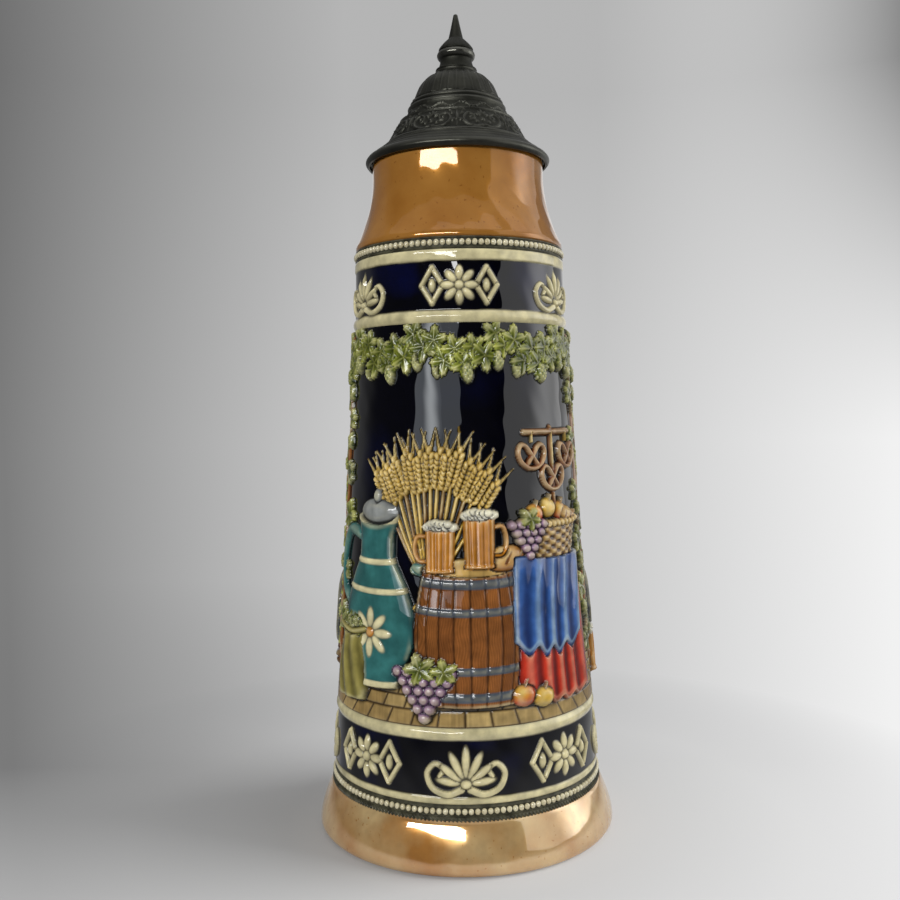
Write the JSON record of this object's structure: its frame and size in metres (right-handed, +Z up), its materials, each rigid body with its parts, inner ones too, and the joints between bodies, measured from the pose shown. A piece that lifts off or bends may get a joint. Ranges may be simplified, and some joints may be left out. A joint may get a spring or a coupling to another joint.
{
  "type": "beer stein",
  "caption": "Tall tapered stoneware drinking vessel with foot, moulded bands, a relief panel, strap handle and a hinged domed pewter lid with thumblift and spire finial.",
  "frame": {"origin": "on the axis of the vessel, on the plane that the foot stands on", "axes": "+Z up along the vessel's axis, +Y towards the handle and hinge, the panel faces -Y"},
  "size_m": [0.1612, 0.1876, 0.4401],
  "materials": {
    "stoneware": "gloss",
    "pewter": "satin",
    "pin_steel": "satin"
  },
  "bodies": {
    "stein": {"vessel": "stoneware", "handle": "stoneware", "handle_band": "pewter", "hinge_shank": "pewter", "hinge_pin": "pin_steel", "pin_caps": "pewter"},
    "lid": {"lid_dome": "pewter", "finial": "pewter", "lid_tang": "pewter", "thumblift": "pewter"}
  },
  "joints": [
    {"name": "lid_hinge", "type": "hinge", "parent": "stein", "child": "lid", "pos_m": [0, 0.0566, 0.36001], "axis": [-1, 0, 0], "range_deg": [0, 100]}
  ]
}
